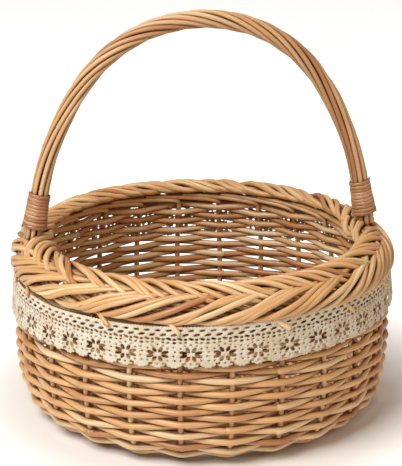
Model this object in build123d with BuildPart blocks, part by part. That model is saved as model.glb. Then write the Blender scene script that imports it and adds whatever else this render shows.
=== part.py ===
from build123d import *

import os
from math import atan2, ceil, cos, degrees, pi, radians, sin, sqrt
from string import ascii_lowercase

# A round willow basket with a roped hoop handle, a plaited border and a lace band.
# Millimetres, +Z up.  The origin is the centre of the underside, and the handle
# stands in the XZ plane.  Every rod is a round rod that follows straight runs and
# arcs that join tangentially.

# ---- driving dimensions ---------------------------------------------------------
upright_count = 24
upright_diameter = 4.2
weaver_diameter = 3.8
clearance = 0.3

# the wall's middle line, from the base outwards and up
foot_radius = 110.0
upsett_radius = 20.0
upsett_angle = 80.0
bulge_radius = 190.0
bulge_angle = 94.0
shoulder_radius = 110.0
shoulder_angle = 108.0
wall_height = 111.0
course_clearance = 0.65
course_end_gap = 1.2
course_start_stride = 7

# base
stick_diameter = 5.0
stick_pitch = 6.6
sticks_per_layer = 3
slath_half_width = 10.5
fan_radius = 30.0
base_weaver_diameter = 3.4
base_ring_inner = 27.0
base_ring_pitch = 4.2
upright_inner_end = 62.0

# plaited border
plait_inset = 1.9
plait_rise = 0.5
plait_wrap_radius = 15.0
plait_wrap_angle = 51.5
plait_rod_diameter = 3.8
plait_rods_per_strand = 3
plait_swing = 13.0
plait_skew = 0.2
plait_eye_swing = 4.0
plait_eye_shift = -2.0
plait_eye_lead = 8.0
plait_eye_spread = 9.0
plait_lift_clearance = 0.5
plait_repeats = 8
plait_strands = 3
plait_points_per_repeat = 8

# handle
handle_foot_offset = 1.6
handle_foot_clearance = 1.3
handle_lean = 10.6
handle_leg_length = 27.8
handle_rise = 148.7
handle_crown_radius = 102.5
bow_diameter = 6.0
bow_tip_diameter = 4.2
bow_insertion = 48.0
rope_rod_diameter = 3.3
rope_rod_count = 8
rope_turns = 1.75
rope_clearance = 0.15
rope_points = 44

# handle bindings
binding_turns = 10
binding_skein_width = 2.8
binding_skein_thickness = 1.1
binding_flare = 1.6

# lace band
lace_width = 29.0
lace_thickness = 1.0
lace_top_below_plait = 3.4
lace_standoff = 0.6

# ---- fineness -------------------------------------------------------------------
search_precision = 1e-4
parallel = 1e-9
slope_step = 0.01

UP = Vector(0, 0, 1)


class Track:
    """A flat route of straight runs and bends, measured along its length."""

    def __init__(self, across, height, heading):
        self.pieces = []
        self.length = 0.0
        self.end = (across, height, radians(heading))

    def straight(self, length):
        self.pieces.append((self.length, length, self.end, 0.0))
        self._advance(length)

    def bend(self, radius, turn):
        """Positive turns are anticlockwise, in degrees."""
        curvature = (1 if turn > 0 else -1) / radius
        length = radius * radians(abs(turn))
        self.pieces.append((self.length, length, self.end, curvature))
        self._advance(length)

    def _advance(self, length):
        self.length += length
        self.end = self.at(self.length)

    def at(self, distance):
        """Across, height and heading in radians at a distance along the track."""
        for start, length, (x, z, heading), curvature in self.pieces:
            if distance <= start + length:
                break
        run = distance - start
        if curvature == 0:
            return x + run * cos(heading), z + run * sin(heading), heading
        turned = heading + run * curvature
        x += (sin(turned) - sin(heading)) / curvature
        z -= (cos(turned) - cos(heading)) / curvature
        return x, z, turned

    def distance_at_height(self, height):
        """The distance at which a track that climbs all the way reaches a height."""
        low, high = 0.0, self.length
        while high - low > search_precision:
            middle = (low + high) / 2
            if self.at(middle)[1] < height:
                low = middle
            else:
                high = middle
        return low


def around(radius, angle, height):
    return Vector(radius * cos(angle), radius * sin(angle), height)


def round_direction(angle):
    return Vector(-sin(angle), cos(angle), 0)


def biarc(start, start_direction, end, end_direction):
    """Two arcs that join the ends tangentially, in the current BuildLine."""
    chord = end - start
    both = start_direction + end_direction
    a = 2 * (1 - start_direction.dot(end_direction))
    b = 2 * chord.dot(both)
    c = chord.dot(chord)
    if start_direction.cross(chord).length < search_precision**2 and a < parallel:
        Line(start, end)
        return
    reach = c / b if a < parallel else (sqrt(b * b + 4 * a * c) - b) / (2 * a)
    first = start + start_direction * reach
    second = end - end_direction * reach
    middle = (first + second) * 0.5
    TangentArc(start, middle, tangent=start_direction)
    TangentArc(middle, end, tangent=(second - first).normalized())


def rod(points, directions, diameter):
    """A round rod through points, heading in the given direction at each."""
    with BuildPart() as piece:
        with BuildLine() as route:
            for i in range(len(points) - 1):
                biarc(points[i], directions[i], points[i + 1], directions[i + 1])
        with BuildSketch(Plane(origin=points[0], z_dir=directions[0])):
            Circle(diameter / 2)
        sweep(path=route.wires()[0])
    return piece.part


def save(part, name):
    part.label = name
    export_step(part, f"parts/{name}.step")


os.makedirs("parts", exist_ok=True)

# ---- shared places --------------------------------------------------------------
weaver_offset = (upright_diameter + weaver_diameter) / 2 + clearance
course_pitch = weaver_diameter + course_clearance
base_offset = (stick_diameter + base_weaver_diameter) / 2 + clearance
spoke_height = base_offset + base_weaver_diameter / 2
upright_step = 2 * pi / upright_count
stick_count = 4 * sticks_per_layer
stick_step = 2 * pi / stick_count

wall = Track(upright_inner_end, spoke_height, 0)
wall.straight(foot_radius - upright_inner_end)
upsett_start = wall.length
wall.bend(upsett_radius, upsett_angle)
wall.bend(bulge_radius, bulge_angle - upsett_angle)
wall.bend(shoulder_radius, shoulder_angle - bulge_angle)
wall.straight((wall_height - wall.end[1]) / sin(wall.end[2]))

# ---- base sticks ----------------------------------------------------------------
# Three sticks cross three, and their ends fan out into twelve even spokes.
base_ring_outer = foot_radius - weaver_diameter - base_weaver_diameter / 2 - clearance


def base_stick(place, layer):
    """One stick: place is -1, 0 or 1 across its layer, layer is -1 below or 1 above."""
    turn = upright_step / 2 + (pi / 2 if layer > 0 else 0)
    height = spoke_height + layer * (stick_diameter + clearance) / 2
    splay = place * stick_step
    ends = []
    for side in (-1, 1):
        straight_end = Vector(side * slath_half_width, place * stick_pitch, height)
        spread = Vector(side * cos(splay), sin(splay), 0)
        fan = spread * fan_radius + UP * spoke_height
        tip = spread * base_ring_outer + UP * spoke_height
        ends.append([(straight_end, Vector(side, 0, 0)), (fan, spread), (tip, spread)])
    left = [(point, direction * -1) for point, direction in reversed(ends[0])]
    route = left + ends[1]
    axis = degrees(turn)
    points = [point.rotate(Axis.Z, axis) for point, _ in route]
    directions = [direction.rotate(Axis.Z, axis) for _, direction in route]
    return rod(points, directions, stick_diameter)


for layer, name in ((-1, "base_sticks_lower"), (1, "base_sticks_upper")):
    sticks = [base_stick(place, layer) for place in (-1, 0, 1)]
    save(Compound(children=sticks), name)

# ---- base weave -----------------------------------------------------------------
# Rings go over one spoke and under the next.  Past the uprights' inner ends, a spoke
# is a stick with an upright on each side.


def base_ring(index):
    radius = base_ring_inner + index * base_ring_pitch
    grouped = radius > upright_inner_end - base_weaver_diameter
    points, directions = [], []
    for spoke in range(stick_count + 1):
        side = 1 if (spoke + index) % 2 else -1
        middle = spoke * stick_step + upright_step / 2
        edges = (-upright_step / 2, upright_step / 2) if grouped else (0.0,)
        for edge in edges:
            angle = middle + edge
            if spoke == stick_count:
                angle = middle + edges[0] - course_end_gap / radius
            if spoke < stick_count or edge == edges[0]:
                points.append(around(radius, angle, spoke_height + side * base_offset))
                directions.append(round_direction(angle))
    return rod(points, directions, base_weaver_diameter)


ring_count = int((base_ring_outer - base_ring_inner) / base_ring_pitch) + 1
first_grouped = ceil(
    (upright_inner_end - base_weaver_diameter - base_ring_inner) / base_ring_pitch
)
save(Compound(children=[base_ring(i) for i in range(first_grouped)]), "base_weave_inner")
save(
    Compound(children=[base_ring(i) for i in range(first_grouped, ring_count)]),
    "base_weave_outer",
)

# ---- side uprights --------------------------------------------------------------
# The two under the handle's feet stop where the bow's ends come down to meet them.
bow_tip = wall.length - bow_insertion


def route_on_wall(start, end, angle):
    joints = [start] + [piece[0] for piece in wall.pieces if start < piece[0] < end] + [end]
    points, directions = [], []
    for distance in joints:
        radius, height, heading = wall.at(distance)
        points.append(around(radius, angle, height))
        directions.append(around(cos(heading), angle, sin(heading)))
    return points, directions


uprights = []
for index in range(upright_count):
    under_handle = index in (0, upright_count // 2)
    top = bow_tip - clearance if under_handle else wall.length
    uprights.append(rod(*route_on_wall(0, top, index * upright_step), upright_diameter))
save(Compound(children=uprights), "side_uprights")

# ---- siding ---------------------------------------------------------------------
# Each course goes outside one upright and inside the next, and the course above it
# takes them the other way.  Its two ends meet behind an upright.
first_course = upsett_start - base_ring_pitch / 2 + weaver_diameter / 2
course_count = int((wall.length - first_course - weaver_diameter / 2) / course_pitch) + 1


def course(index):
    radius, height, heading = wall.at(first_course + index * course_pitch)
    start = (course_start_stride * index) % upright_count
    if (start + index) % 2 == 0:
        start += 1
    points, directions = [], []
    for step in range(upright_count + 1):
        upright = start + step
        side = 1 if (upright + index) % 2 == 0 else -1
        angle = upright * upright_step
        at_radius = radius + side * weaver_offset * sin(heading)
        at_height = height - side * weaver_offset * cos(heading)
        if step == upright_count:
            angle -= course_end_gap / radius
        points.append(around(at_radius, angle, at_height))
        directions.append(round_direction(angle))
    return rod(points, directions, weaver_diameter)


for index in range(course_count):
    save(course(index), f"siding_course_{index + 1:02d}")

# ---- plaited border -------------------------------------------------------------
# Three flat strands of rods plait round the top of the wall.  Where a handle foot
# comes down, the strands swing wider and leave an eye for the bow.
plait_step = 2 * pi / (plait_repeats * plait_points_per_repeat)
plait_section_radius = wall.end[0] - plait_inset
plait_section_height = wall_height + plait_rise
plait_lift = plait_rod_diameter + plait_lift_clearance


def plait_point(angle, phase):
    """A strand's middle, and the plait's outward normal there."""
    beat = plait_repeats * angle + phase
    beat += plait_skew * (sin(beat) + 1)
    from_foot = degrees(atan2(abs(sin(angle)), abs(cos(angle))))
    at_eye = 2 ** (-((from_foot / plait_eye_spread) ** 2))
    across = (plait_swing + plait_eye_swing * at_eye) * sin(beat) + plait_eye_shift * at_eye
    lift = -plait_lift * sin(2 * beat)
    wrap = radians(plait_wrap_angle) - across / plait_wrap_radius
    reach = plait_wrap_radius + lift
    radius = plait_section_radius + reach * cos(wrap)
    height = plait_section_height + reach * sin(wrap)
    return around(radius, angle, height), around(cos(wrap), angle, sin(wrap))


def plait_rod(strand, place):
    """One rod of a strand, place counting rods from the strand's middle."""
    phase = strand * 2 * pi / plait_strands - pi / 2 - radians(plait_eye_lead)
    start = upright_step / 2
    count = plait_repeats * plait_points_per_repeat
    small = slope_step / plait_section_radius
    shift = place * (plait_rod_diameter + clearance)

    def at(angle):
        middle, normal = plait_point(angle, phase)
        ahead = plait_point(angle + small, phase)[0] - middle
        return middle + normal.cross(ahead).normalized() * shift

    points, directions = [], []
    for step in range(count + 1):
        angle = start + step * plait_step
        if step == count:
            angle -= course_end_gap / plait_section_radius
        points.append(at(angle))
        directions.append((at(angle + small) - at(angle - small)).normalized())
    return rod(points, directions, plait_rod_diameter)


middle_rod = (plait_rods_per_strand - 1) / 2
for strand in range(plait_strands):
    rods = [plait_rod(strand, i - middle_rod) for i in range(plait_rods_per_strand)]
    save(Compound(children=rods), f"border_strand_{ascii_lowercase[strand]}")

# ---- handle bow -----------------------------------------------------------------
# The bow climbs from inside the wall, through the plait's eye, up a leg that leans in
# and over a three-arc arch.
handle_foot_radius = plait_section_radius + handle_foot_offset
plait_top = plait_section_height + plait_wrap_radius + plait_lift + plait_rod_diameter / 2
handle_foot_height = plait_top + handle_foot_clearance
handle_apex_height = handle_foot_height + handle_rise
lean = radians(handle_lean)
leg_top = Vector(
    handle_foot_radius - handle_leg_length * sin(lean),
    handle_foot_height + handle_leg_length * cos(lean),
)
crown_centre = Vector(0, handle_apex_height - handle_crown_radius)
from_crown = leg_top - crown_centre
across_leg = Vector(cos(lean), sin(lean))
side_radius = (from_crown.dot(from_crown) - handle_crown_radius**2) / (
    2 * (from_crown.dot(across_leg) - handle_crown_radius)
)
side_centre = leg_top - across_leg * side_radius
to_crown = crown_centre - side_centre
side_turn = degrees(atan2(to_crown.Y, to_crown.X)) - handle_lean

# the handle's middle line from the right foot over to the left one
arch = Track(handle_foot_radius, handle_foot_height, 90 + handle_lean)
arch.straight(handle_leg_length)
arch.bend(side_radius, side_turn)
arch.bend(handle_crown_radius, 180 - 2 * (handle_lean + side_turn))
arch.bend(side_radius, side_turn)
arch.straight(handle_leg_length)


def arch_frame(distance):
    """Point, direction and outward normal on the handle's middle line."""
    x, z, heading = arch.at(distance)
    return (
        Vector(x, 0, z),
        Vector(cos(heading), 0, sin(heading)),
        Vector(sin(heading), 0, -cos(heading)),
    )


def mirrored(points, directions):
    """The same route on the other side of the YZ plane, travelled the other way."""
    points = [Vector(-point.X, point.Y, point.Z) for point in reversed(points)]
    directions = [Vector(d.X, -d.Y, -d.Z) for d in reversed(directions)]
    return points, directions


arch_joints = [arch_frame(piece[0]) for piece in arch.pieces] + [arch_frame(arch.length)]
arch_points = [point for point, _, _ in arch_joints]
arch_directions = [direction for _, direction, _ in arch_joints]

# each end is shaved thin where it leaves its binding
tip_points, tip_directions = route_on_wall(bow_tip, wall.length, 0)
tip_points.append(arch_points[0])
tip_directions.append(arch_directions[0])

with BuildPart() as handle_bow:
    add(rod(arch_points, arch_directions, bow_diameter))
    add(rod(tip_points, tip_directions, bow_tip_diameter))
    add(rod(*mirrored(tip_points, tip_directions), bow_tip_diameter))
save(handle_bow.part, "handle_bow")

# ---- handle rope ----------------------------------------------------------------
# The rods lie straight in the bindings and twist most over the crown.
rope_beside_bow = (bow_diameter + rope_rod_diameter) / 2 + rope_clearance
rope_side_by_side = (rope_rod_diameter + rope_clearance) / (2 * sin(pi / rope_rod_count))
rope_radius = max(rope_beside_bow, rope_side_by_side)


def rope_rod(index):
    first = 2 * pi * index / rope_rod_count

    def at(distance):
        point, _, outward = arch_frame(distance)
        share = distance / arch.length
        turned = first - 2 * pi * rope_turns * (share - sin(2 * pi * share) / (2 * pi))
        return point + (outward * cos(turned) + Vector(0, -1, 0) * sin(turned)) * rope_radius

    points, directions = [], []
    for step in range(rope_points + 1):
        distance = arch.length * step / rope_points
        before = max(distance - slope_step, 0)
        after = min(distance + slope_step, arch.length)
        points.append(at(distance))
        directions.append((at(after) - at(before)).normalized())
    return rod(points, directions, rope_rod_diameter)


for index in range(rope_rod_count):
    save(rope_rod(index), f"handle_rope_rod_{index + 1}")

# ---- handle bindings ------------------------------------------------------------
# A skein wound round each foot, one rounded turn above another, wider at the bottom.
binding_inner = rope_radius + rope_rod_diameter / 2 + clearance


def binding(side):
    point, direction, outward = arch_frame(0)
    if side < 0:
        point = Vector(-point.X, 0, point.Z)
        direction = Vector(-direction.X, 0, direction.Z)
        outward = Vector(-outward.X, 0, outward.Z)
    section = Plane(origin=point, x_dir=outward, z_dir=outward.cross(direction))
    with BuildPart() as piece:
        with BuildSketch(section):
            with BuildLine():
                height = binding_turns * binding_skein_width
                outers = [
                    binding_inner
                    + binding_skein_thickness
                    + binding_flare * (1 - turn / binding_turns) ** 2
                    for turn in range(binding_turns + 1)
                ]
                Line((outers[0], 0), (binding_inner, 0))
                Line((binding_inner, 0), (binding_inner, height))
                Line((binding_inner, height), (outers[-1], height))
                for turn in range(binding_turns):
                    low = (outers[turn], turn * binding_skein_width)
                    high = (outers[turn + 1], (turn + 1) * binding_skein_width)
                    middle = (
                        (low[0] + high[0]) / 2 + binding_skein_thickness / 2,
                        (low[1] + high[1]) / 2,
                    )
                    ThreePointArc(low, middle, high)
            make_face()
        revolve(axis=Axis(point, direction))
    return piece.part


save(binding(1), "handle_binding_right")
save(binding(-1), "handle_binding_left")

# ---- lace band ------------------------------------------------------------------
# The band hangs from under the plait, outside the siding.
plait_low_wrap = radians(plait_wrap_angle) - (
    plait_swing + (plait_rods_per_strand - 1) / 2 * (plait_rod_diameter + clearance)
) / plait_wrap_radius
lace_top = (
    plait_section_height
    + plait_wrap_radius * sin(plait_low_wrap)
    - plait_rod_diameter / 2
    - lace_top_below_plait
)
lace_bottom = lace_top - lace_width
wall_beside_lace = wall.at(wall.distance_at_height(lace_bottom))[0]
lace_low_radius = wall_beside_lace + weaver_offset + weaver_diameter / 2 + lace_standoff
lace_high_radius = plait_section_radius + plait_wrap_radius + lace_standoff

with BuildPart() as lace_band:
    with BuildSketch(Plane.XZ):
        Polygon(
            (lace_low_radius, lace_bottom),
            (lace_low_radius + lace_thickness, lace_bottom),
            (lace_high_radius + lace_thickness, lace_top),
            (lace_high_radius, lace_top),
            align=None,
        )
    revolve(axis=Axis.Z)
save(lace_band.part, "lace_band")
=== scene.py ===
import math

import bpy
import numpy as np
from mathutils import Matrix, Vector


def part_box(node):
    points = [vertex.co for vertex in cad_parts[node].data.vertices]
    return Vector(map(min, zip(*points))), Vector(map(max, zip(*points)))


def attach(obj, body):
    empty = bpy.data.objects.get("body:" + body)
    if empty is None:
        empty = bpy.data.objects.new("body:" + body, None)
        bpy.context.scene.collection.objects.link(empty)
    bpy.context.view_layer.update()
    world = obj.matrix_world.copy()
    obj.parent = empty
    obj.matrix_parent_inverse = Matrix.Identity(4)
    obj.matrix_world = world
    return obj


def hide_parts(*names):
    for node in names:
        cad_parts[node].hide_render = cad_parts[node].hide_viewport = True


# A round willow basket: woven base and sides, a plaited border, a roped hoop handle with
# two skein bindings, and a cotton lace band.  Metres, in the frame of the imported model.

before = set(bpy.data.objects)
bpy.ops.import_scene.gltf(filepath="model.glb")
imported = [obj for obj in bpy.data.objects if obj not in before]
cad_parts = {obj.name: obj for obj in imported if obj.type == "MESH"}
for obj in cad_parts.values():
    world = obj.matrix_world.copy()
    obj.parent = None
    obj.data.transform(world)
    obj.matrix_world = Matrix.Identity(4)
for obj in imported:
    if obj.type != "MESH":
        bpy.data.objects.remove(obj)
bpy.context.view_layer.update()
MM = 0.001

# ---- driving sizes --------------------------------------------------------------------
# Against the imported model, siding, border and rope rods are thicker and the uprights are
# thinner.  The border has twice as many rods, and each crosses it in longer strokes.
UPRIGHTS = 24
COURSES = sum(name.startswith("siding_course_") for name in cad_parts)
UPRIGHT_STEP = 2 * math.pi / UPRIGHTS
UPRIGHT_RADIUS = 2.0 * MM
SIDING_RADIUS = 2.2 * MM
SIDING_TAPER = 0.16
SIDING_WANDER = 0.25 * MM
SIDING_SAG = 0.38 * MM
LONG_LAYS = (12, 12)
SHORT_LAYS = (9, 8, 7)
LAY_OVERLAP = 0.10 * UPRIGHT_STEP
WEAVE_OFFSET = 3.0 * MM
WEAVE_SHARPNESS = 0.975

STICK_COUNT = 12
STICK_RADIUS = 2.5 * MM
STICK_PITCH = 6.6 * MM
STICK_TIP_RADIUS = 104.2 * MM
STICK_SAMPLES = 61
STICK_SMOOTHINGS = 6
BASE_LAYER = 2.65 * MM
SLATH_HALF_WIDTH = 10.5 * MM
FAN_RADIUS = 30 * MM
BASE_RING_RADIUS = 1.7 * MM
BASE_RING_INNER = 27 * MM
BASE_RING_PITCH = 4.2 * MM
BASE_RING_SWING = 4.185 * MM
BASE_RING_GAP = 1.2 * MM
BASE_RING_SAMPLES = 97
UPRIGHT_INNER_END = 62 * MM

# tops of the uprights, bent down to run inside the border
TAIL_STEPS = 26
TAIL_LENGTH = 62 * MM
TAIL_BEND = 3 * MM
TAIL_RADIUS = 118 * MM
TAIL_RISE = 5 * MM

PLAIT_REPEATS = 4
PLAIT_STRANDS = 3
PLAIT_RODS = 6
PLAIT_SECTION_RADIUS = 120.0 * MM
PLAIT_SECTION_HEIGHT = 111.5 * MM
PLAIT_WRAP_RADIUS = 15 * MM
PLAIT_WRAP_ANGLE = math.radians(51.5)
PLAIT_SWING = 17.0 * MM
PLAIT_SKEW = 0.25
PLAIT_SHARPNESS = 0.92
PLAIT_GROUP = 3
PLAIT_FAN = 0.27
PLAIT_DRIFT = 0.14
PLAIT_WANDER = 0.9 * MM
PLAIT_RISE = 0.45 * MM
PLAIT_EYE_SWING = 4 * MM
PLAIT_EYE_SHIFT = -2 * MM
PLAIT_EYE_LEAD = math.radians(8)
PLAIT_EYE_SPREAD = 9.0
PLAIT_LIFT = 2.6 * MM
PLAIT_ROD_RADIUS = 2.15 * MM
PLAIT_LENGTHENING = 1.3
PLAIT_END_GAP = 0.01

# cropped rod ends that show under the border
CROPPED_TIPS = 15
TIP_RADIUS = 134.5 * MM
TIP_HEIGHT = 108.5 * MM
TIP_RUN = 9 * MM
TIP_DROP = 7.5 * MM
TIP_FLARE = 4.5 * MM
TIP_STEPS = 8

FOOT_HEIGHT = 134.0 * MM
FOOT_OFFSET = 1.6 * MM
HANDLE_LEAN = math.radians(10.6)
HANDLE_LEG = 27.8 * MM
HANDLE_CROWN_RADIUS = 102.5 * MM
ROPE_RODS = 8
ROPE_TURNS = 1.75
ROPE_RADIUS = 4.8 * MM
ROPE_ROD_RADIUS = 1.75 * MM
ROPE_END_RUN = 6 * MM
ROPE_WANDER = 0.25 * MM
ROPE_INNER_SHADE = 0.75
BOW_RADIUS = 3.0 * MM
BOW_TIP_COURSES = 10
BINDING_TURNS = 10
SKEIN_WIDTH = 2.8 * MM
SKEIN_THICKNESS = 0.9 * MM
SKEIN_COVER = 0.98
SKEIN_EASE = 0.15 * MM
SKEIN_SAMPLES = 40
BINDING_FLARE = 1.6 * MM

LACE_MOTIFS = 39
LACE_LIFT = 4.5 * MM
LACE_TILT = 4.0 * MM
LACE_STAND_OFF = 0.8 * MM
LACE_RUFFLE = 0.5 * MM
FLOWER_HEIGHT = 9.8 * MM
PETALS = 8
EYELETS = 3
LACE_ROUND_SAMPLES = 40
LACE_ACROSS_SAMPLES = 54
LACE_EDGE_HALF = 0.20 * MM
LACE_PUFF_HALF = 0.32 * MM
THREAD_DEPTH = 0.10 * MM

ROD_SIDES = 10
ROD_STEP = 2.8 * MM
ROD_END = 0.35
KNOB_SPACING = 110 * MM
KNOB_HALF_LENGTH = 2.2 * MM


# ---- small helpers --------------------------------------------------------------------
def unit(vectors):
    """Vectors brought to a length of one."""
    return vectors / np.linalg.norm(vectors, axis=-1, keepdims=True)


def around(radius, angle, height):
    """Points on circles about the upright axis."""
    radius, angle, height = np.broadcast_arrays(radius, angle, height)
    return np.stack([radius * np.cos(angle), radius * np.sin(angle), height], -1)


def slow_noise(rng, samples, waves):
    """A smooth random line from -1 to 1 with about that many waves along it."""
    knots = rng.uniform(-1, 1, max(int(waves) + 4, 5))
    at = np.linspace(1, len(knots) - 2.001, samples)
    low = at.astype(int)
    share = at - low
    share = share * share * (3 - 2 * share)
    return knots[low] * (1 - share) + knots[low + 1] * share


def corners(node):
    """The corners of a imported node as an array."""
    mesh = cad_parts[node].data
    points = np.zeros(len(mesh.vertices) * 3, np.float32)
    mesh.vertices.foreach_get("co", points)
    return points.reshape(-1, 3).astype(float)


def mesh_piece(name, points, faces, attributes, material):
    """A smooth mesh object from corner points, lists of corner numbers and attributes."""
    mesh = bpy.data.meshes.new(name)
    sizes = np.concatenate([np.full(len(f), f.shape[1]) for f in faces])
    loops = np.concatenate([f.ravel() for f in faces])
    mesh.vertices.add(len(points))
    mesh.vertices.foreach_set("co", np.asarray(points, np.float32).ravel())
    mesh.loops.add(len(loops))
    mesh.loops.foreach_set("vertex_index", loops.astype(np.int32))
    mesh.polygons.add(len(sizes))
    starts = np.concatenate([[0], np.cumsum(sizes)[:-1]])
    mesh.polygons.foreach_set("loop_start", starts.astype(np.int32))
    mesh.polygons.foreach_set("loop_total", sizes.astype(np.int32))
    mesh.polygons.foreach_set("use_smooth", np.ones(len(sizes), bool))
    for label, values in attributes.items():
        values = np.asarray(values, np.float32)
        kind = "FLOAT_VECTOR" if values.ndim == 2 else "FLOAT"
        made = mesh.attributes.new(label, kind, "POINT")
        made.data.foreach_set("vector" if values.ndim == 2 else "value", values.ravel())
    mesh.update(calc_edges=True)
    mesh.validate()
    mesh.materials.append(material)
    piece = bpy.data.objects.new(name, mesh)
    bpy.context.scene.collection.objects.link(piece)
    return piece


class Rods:
    """Round rods gathered into one mesh, each with its own tone and place in the grain."""

    def __init__(self, seed):
        self.rng = np.random.default_rng(seed)
        self.points, self.quads, self.caps = [], [], []
        self.space, self.tone, self.nook = [], [], []
        self.count = 0

    def add(self, centres, outward, radius, tone, taper=0.0, nook=None, knobs=True):
        """One rod along centres, with angles round it counted from the outward directions.

        taper is the share of its radius that it loses from butt to tip.  nook, a pair for the
        outward and the inward side, says from 0 to 1 how deep in the weave each centre lies; it sets
        how much painted shade and brown stain that side takes."""
        rng = self.rng
        length = np.concatenate([[0], np.cumsum(np.linalg.norm(np.diff(centres, axis=0), axis=1))])
        count = len(centres)
        share = length / length[-1]
        radii = radius * (1 + taper / 2 - taper * share)
        radii = radii * (1 + 0.03 * slow_noise(rng, count, length[-1] / (25 * MM)))
        if knobs:
            for _ in range(rng.poisson(length[-1] / KNOB_SPACING)):
                at = rng.uniform(0, length[-1])
                radii = radii * (1 + 0.09 * np.exp(-(((length - at) / KNOB_HALF_LENGTH) ** 2)))
        ahead = unit(np.gradient(centres, axis=0))
        across = unit(np.cross(ahead, outward))
        out = np.cross(across, ahead)
        # each end is rounded by a smaller ring just beyond it
        first = centres[:1] - ahead[:1] * radii[0] * ROD_END
        last = centres[-1:] + ahead[-1:] * radii[-1] * ROD_END
        centres = np.concatenate([first, centres, last])
        radii = np.concatenate([radii[:1] * 0.7, radii, radii[-1:] * 0.7])
        length = np.concatenate([[-radii[0] * ROD_END], length, [length[-1] + radii[-1] * ROD_END]])
        out = np.concatenate([out[:1], out, out[-1:]])
        across = np.concatenate([across[:1], across, across[-1:]])
        turn = 2 * math.pi * np.arange(ROD_SIDES) / ROD_SIDES
        ring = out[:, None] * np.cos(turn)[None, :, None] + across[:, None] * np.sin(turn)[None, :, None]
        points = centres[:, None] + ring * radii[:, None, None]
        rings = len(centres)
        number = self.count + np.arange(rings * ROD_SIDES).reshape(rings, ROD_SIDES)
        beside = np.roll(number, -1, axis=1)
        quads = np.stack([number[:-1], beside[:-1], beside[1:], number[1:]], -1)
        self.points.append(points.reshape(-1, 3))
        self.quads.append(quads.reshape(-1, 4)[:, ::-1])
        self.caps.append(np.stack([number[0], number[-1][::-1]]))
        offset = rng.uniform(0, 50)
        space = np.zeros((rings, ROD_SIDES, 3))
        space[..., 0] = length[:, None] + offset
        space[..., 1] = radii[:, None] * np.cos(turn)
        space[..., 2] = radii[:, None] * np.sin(turn)
        self.space.append(space.reshape(-1, 3))
        self.tone.append(np.full(rings * ROD_SIDES, tone))
        deep = np.zeros((rings, ROD_SIDES))
        # painted shade with stain, blended round the rod from its outward to its inward side
        if nook is not None:
            outside, inside = (np.concatenate([n[:1], n, n[-1:]]) for n in nook)
            facing = (1 + np.cos(turn)) / 2
            deep = outside[:, None] * facing + inside[:, None] * (1 - facing)
        self.nook.append(deep.ravel())
        self.count += rings * ROD_SIDES

    def piece(self, name, material):
        """One mesh object of all the rods added so far."""
        faces = [np.concatenate(self.quads), *self.caps]
        attributes = {
            "rod_space": np.concatenate(self.space),
            "rod_tone": np.concatenate(self.tone),
            "nook": np.concatenate(self.nook),
        }
        return mesh_piece(name, np.concatenate(self.points), faces, attributes, material)


def samples_along(length):
    """How many centres a rod of that length takes."""
    return max(int(length / ROD_STEP), 4)


# ---- shader groups --------------------------------------------------------------------
def new_group(name, inputs, outputs):
    """A shader node group.  inputs and outputs are (name, socket kind, default)."""
    tree = bpy.data.node_groups.new(name, "ShaderNodeTree")
    for label, kind, default in inputs:
        made = tree.interface.new_socket(label, in_out="INPUT", socket_type=kind)
        if default is not None:
            made.default_value = default
    for label, kind in outputs:
        tree.interface.new_socket(label, in_out="OUTPUT", socket_type=kind)
    return tree, tree.nodes.new("NodeGroupInput"), tree.nodes.new("NodeGroupOutput")


class Wiring:
    """Short calls that place and join nodes in one tree."""

    def __init__(self, tree):
        self.tree = tree

    def node(self, kind, **settings):
        """A new node with its settings made."""
        made = self.tree.nodes.new(kind)
        for key, value in settings.items():
            setattr(made, key, value)
        return made

    def join(self, source, target):
        """Joins an output to an input."""
        self.tree.links.new(source, target)
        return source

    def put(self, socket, value):
        """Joins an output to an input, or sets the input to a plain value."""
        if isinstance(value, bpy.types.NodeSocket):
            self.join(value, socket)
        else:
            socket.default_value = value

    def maths(self, operation, a, b=0.0, clamp=False):
        """The result of one operation on two numbers."""
        made = self.node("ShaderNodeMath", operation=operation, use_clamp=clamp)
        self.put(made.inputs[0], a)
        self.put(made.inputs[1], b)
        return made.outputs[0]

    def between(self, value, low, high, to_low=0.0, to_high=1.0):
        """A number led smoothly from to_low to to_high as value goes from low to high."""
        made = self.node("ShaderNodeMapRange", interpolation_type="SMOOTHSTEP")
        for socket, given in zip(made.inputs, (value, low, high, to_low, to_high)):
            self.put(socket, given)
        return made.outputs[0]

    def mix(self, share, a, b, blend="MIX"):
        """Colour a with that share of colour b laid on it."""
        made = self.node("ShaderNodeMix", data_type="RGBA", blend_type=blend)
        self.put(made.inputs["Factor"], share)
        self.put(made.inputs[6], a)
        self.put(made.inputs[7], b)
        return made.outputs[2]

    def scaled(self, vector, scale):
        """A vector times a scale for each axis."""
        made = self.node("ShaderNodeVectorMath", operation="MULTIPLY")
        self.put(made.inputs[0], vector)
        made.inputs[1].default_value = scale
        return made.outputs[0]

    def noise(self, vector, scale, detail=2.0, roughness=0.5):
        """Cloudy noise from 0 to 1 at a place."""
        made = self.node("ShaderNodeTexNoise")
        self.put(made.inputs["Vector"], vector)
        made.inputs["Scale"].default_value = scale
        made.inputs["Detail"].default_value = detail
        made.inputs["Roughness"].default_value = roughness
        return made.outputs["Fac"]


COLOUR, NUMBER, VECTOR = "NodeSocketColor", "NodeSocketFloat", "NodeSocketVector"


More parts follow.
